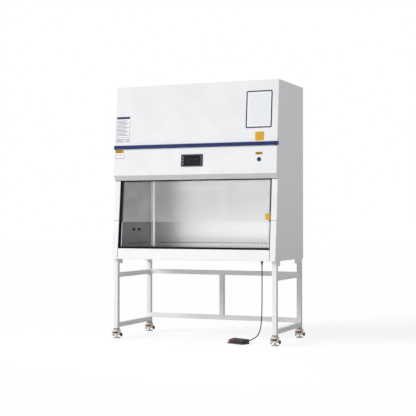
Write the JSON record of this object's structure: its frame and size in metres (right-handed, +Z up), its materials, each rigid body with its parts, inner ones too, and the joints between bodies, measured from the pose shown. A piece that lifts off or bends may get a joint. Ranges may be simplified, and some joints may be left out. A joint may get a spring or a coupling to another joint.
{
  "type": "biosafety cabinet",
  "caption": "Floor-standing laboratory safety cabinet: leaning glass sash over a steel work chamber, filter head above, tube stand on levelling casters, foot switch on a cable.",
  "frame": {"origin": "on the floor under the middle of the cabinet", "axes": "+X to the user's right, +Y to the back, +Z up; the opening faces -Y"},
  "size_m": [1.544, 0.74, 2.19],
  "materials": {
    "white_paint": "powder coated, satin",
    "stand_paint": "powder coated, satin",
    "blue_trim": "moulded, gloss",
    "stainless": "brushed",
    "sash_glass": "toughened, clear",
    "black_plastic": "moulded, matte",
    "bezel": "moulded, satin",
    "screen": "display glass",
    "lock_metal": "plated",
    "filter_media": "pleated paper in a frame",
    "galvanised": "galvanised sheet",
    "motor_metal": "cast",
    "lamp_glass": "opal tube",
    "belt_rubber": "toothed belt",
    "steel": "turned, zinc plated",
    "caster_ivory": "painted, satin",
    "caster_red": "moulded, satin",
    "wheel_nylon": "moulded",
    "pad_rubber": "moulded",
    "switch_grey": "moulded",
    "pedal_red": "moulded",
    "pedal_dark": "moulded",
    "cable_jacket": "extruded"
  },
  "bodies": {
    "cabinet": {"side_panel_left": "white_paint", "side_panel_right": "white_paint", "rear_panel": "white_paint", "top_panel": "white_paint", "exhaust_grille": "white_paint", "floor_panel": "white_paint", "upper_front_panel": "white_paint", "trim_strip": "blue_trim", "document_frame": "blue_trim", "bottom_front_panel": "white_paint", "inner_side_walls": "stainless", "inner_rear_wall": "stainless", "base_pan": "stainless", "diffuser_panel": "stainless", "supply_filter": "filter_media", "exhaust_filter": "filter_media", "plenum_deck": "galvanised", "blower_housing": "galvanised", "lamps": "lamp_glass", "sash_tracks": "black_plastic", "drive_belts": "belt_rubber", "shaft_bearings": "motor_metal", "sash_motor": "motor_metal", "stand_legs": "stand_paint", "stand_rails": "stand_paint", "corner_brackets": "stand_paint", "caster_studs": "steel", "footswitch_base": "switch_grey", "cable_gland": "black_plastic", "footswitch_cable": "cable_jacket"},
    "sash": {"sash_glass": "sash_glass", "sash_clamps": "black_plastic"},
    "sash_shaft": {"drive_shaft": "steel"},
    "sash_idlers": {"idler_pulleys": "steel"},
    "front_door": {"control_panel": "white_paint", "display_bezel": "bezel", "display_screen": "screen"},
    "lock_barrel": {"key_lock": "lock_metal"},
    "tray": {"work_tray": "stainless"},
    "fan": {"impeller": "galvanised"},
    "valve_front": {"valve_knob_front": "black_plastic"},
    "valve_rear": {"valve_knob_rear": "black_plastic"},
    "left_pedal": {"pedal_left": "pedal_red"},
    "right_pedal": {"pedal_right": "pedal_dark"},
    "caster_front_left": {"caster_housing_front_left": "caster_ivory"},
    "wheel_front_left": {"caster_wheel_front_left": "wheel_nylon"},
    "ring_front_left": {"caster_ring_front_left": "caster_red"},
    "foot_front_left": {"caster_pad_front_left": "pad_rubber"},
    "caster_front_right": {"caster_housing_front_right": "caster_ivory"},
    "wheel_front_right": {"caster_wheel_front_right": "wheel_nylon"},
    "ring_front_right": {"caster_ring_front_right": "caster_red"},
    "foot_front_right": {"caster_pad_front_right": "pad_rubber"},
    "caster_rear_left": {"caster_housing_rear_left": "caster_ivory"},
    "wheel_rear_left": {"caster_wheel_rear_left": "wheel_nylon"},
    "ring_rear_left": {"caster_ring_rear_left": "caster_red"},
    "foot_rear_left": {"caster_pad_rear_left": "pad_rubber"},
    "caster_rear_right": {"caster_housing_rear_right": "caster_ivory"},
    "wheel_rear_right": {"caster_wheel_rear_right": "wheel_nylon"},
    "ring_rear_right": {"caster_ring_rear_right": "caster_red"},
    "foot_rear_right": {"caster_pad_rear_right": "pad_rubber"}
  },
  "joints": [
    {"name": "sash_slide", "type": "slide", "parent": "cabinet", "child": "sash", "axis": [0, 0.0934, 0.9956], "range_m": [-0.228, 0.3]},
    {"name": "sash_shaft_turn", "type": "hinge", "parent": "cabinet", "child": "sash_shaft", "pos_m": [0, -0.19334, 2.04], "axis": [-1, 0, 0], "range_deg": [-872, 1147]},
    {"name": "idler_turn", "type": "hinge", "parent": "cabinet", "child": "sash_idlers", "pos_m": [0, -0.25526, 1.38], "axis": [-1, 0, 0], "range_deg": [-872, 1147]},
    {"name": "front_door_lift", "type": "hinge", "parent": "cabinet", "child": "front_door", "pos_m": [0, -0.31687, 1.6408], "axis": [-1, 0, 0], "range_deg": [0, 80]},
    {"name": "lock_turn", "type": "hinge", "parent": "front_door", "child": "lock_barrel", "pos_m": [0.595, -0.32925, 1.529], "axis": [0, -0.9962, 0.0872], "range_deg": [0, 90]},
    {"name": "tray_lift", "type": "slide", "parent": "cabinet", "child": "tray", "axis": [0, 0, 1], "range_m": [0, 0.06]},
    {"name": "fan_spin", "type": "hinge", "parent": "cabinet", "child": "fan", "pos_m": [0, 0.07, 1.76], "axis": [1, 0, 0], "continuous": true},
    {"name": "valve_front_turn", "type": "hinge", "parent": "cabinet", "child": "valve_front", "pos_m": [-0.675, -0.099, 0.945], "axis": [1, 0, 0], "range_deg": [0, 90]},
    {"name": "valve_rear_turn", "type": "hinge", "parent": "cabinet", "child": "valve_rear", "pos_m": [-0.675, 0.003, 0.945], "axis": [1, 0, 0], "range_deg": [0, 90]},
    {"name": "left_pedal_press", "type": "hinge", "parent": "cabinet", "child": "left_pedal", "pos_m": [0.4023, -0.2814, 0.022], "axis": [0.9336, -0.3584, 0], "range_deg": [0, 4.5], "stiffness_Nm_per_rad": 6, "springref_deg": -4.58},
    {"name": "right_pedal_press", "type": "hinge", "parent": "cabinet", "child": "right_pedal", "pos_m": [0.4023, -0.2814, 0.022], "axis": [0.9336, -0.3584, 0], "range_deg": [0, 4.5], "stiffness_Nm_per_rad": 6, "springref_deg": -4.58},
    {"name": "swivel_front_left", "type": "hinge", "parent": "cabinet", "child": "caster_front_left", "pos_m": [-0.73, -0.32, 0.073], "axis": [0, 0, 1], "continuous": true},
    {"name": "wheel_front_left_roll", "type": "hinge", "parent": "caster_front_left", "child": "wheel_front_left", "pos_m": [-0.73, -0.306, 0.03], "axis": [1, 0, 0], "continuous": true},
    {"name": "ring_front_left_turn", "type": "hinge", "parent": "caster_front_left", "child": "ring_front_left", "pos_m": [-0.73, -0.32, 0.0505], "axis": [0, 0, 1], "range_deg": [-244, 1806]},
    {"name": "foot_front_left_slide", "type": "slide", "parent": "caster_front_left", "child": "foot_front_left", "axis": [0, 0, 1], "range_m": [-0.002, 0.015]},
    {"name": "swivel_front_right", "type": "hinge", "parent": "cabinet", "child": "caster_front_right", "pos_m": [0.73, -0.32, 0.073], "axis": [0, 0, 1], "continuous": true},
    {"name": "wheel_front_right_roll", "type": "hinge", "parent": "caster_front_right", "child": "wheel_front_right", "pos_m": [0.73, -0.306, 0.03], "axis": [1, 0, 0], "continuous": true},
    {"name": "ring_front_right_turn", "type": "hinge", "parent": "caster_front_right", "child": "ring_front_right", "pos_m": [0.73, -0.32, 0.0505], "axis": [0, 0, 1], "range_deg": [-244, 1806]},
    {"name": "foot_front_right_slide", "type": "slide", "parent": "caster_front_right", "child": "foot_front_right", "axis": [0, 0, 1], "range_m": [-0.002, 0.015]},
    {"name": "swivel_rear_left", "type": "hinge", "parent": "cabinet", "child": "caster_rear_left", "pos_m": [-0.73, 0.325, 0.073], "axis": [0, 0, 1], "continuous": true},
    {"name": "wheel_rear_left_roll", "type": "hinge", "parent": "caster_rear_left", "child": "wheel_rear_left", "pos_m": [-0.73, 0.339, 0.03], "axis": [1, 0, 0], "continuous": true},
    {"name": "ring_rear_left_turn", "type": "hinge", "parent": "caster_rear_left", "child": "ring_rear_left", "pos_m": [-0.73, 0.325, 0.0505], "axis": [0, 0, 1], "range_deg": [-244, 1806]},
    {"name": "foot_rear_left_slide", "type": "slide", "parent": "caster_rear_left", "child": "foot_rear_left", "axis": [0, 0, 1], "range_m": [-0.002, 0.015]},
    {"name": "swivel_rear_right", "type": "hinge", "parent": "cabinet", "child": "caster_rear_right", "pos_m": [0.73, 0.325, 0.073], "axis": [0, 0, 1], "continuous": true},
    {"name": "wheel_rear_right_roll", "type": "hinge", "parent": "caster_rear_right", "child": "wheel_rear_right", "pos_m": [0.73, 0.339, 0.03], "axis": [1, 0, 0], "continuous": true},
    {"name": "ring_rear_right_turn", "type": "hinge", "parent": "caster_rear_right", "child": "ring_rear_right", "pos_m": [0.73, 0.325, 0.0505], "axis": [0, 0, 1], "range_deg": [-244, 1806]},
    {"name": "foot_rear_right_slide", "type": "slide", "parent": "caster_rear_right", "child": "foot_rear_right", "axis": [0, 0, 1], "range_m": [-0.002, 0.015]}
  ],
  "couplings": [
    {"joint": "sash_shaft_turn", "follows": "sash_slide", "rad_per_m": 66.667},
    {"joint": "idler_turn", "follows": "sash_slide", "rad_per_m": 66.667},
    {"joint": "ring_front_left_turn", "follows": "foot_front_left_slide", "rad_per_m": 2094.4},
    {"joint": "ring_front_right_turn", "follows": "foot_front_right_slide", "rad_per_m": 2094.4},
    {"joint": "ring_rear_left_turn", "follows": "foot_rear_left_slide", "rad_per_m": 2094.4},
    {"joint": "ring_rear_right_turn", "follows": "foot_rear_right_slide", "rad_per_m": 2094.4}
  ]
}
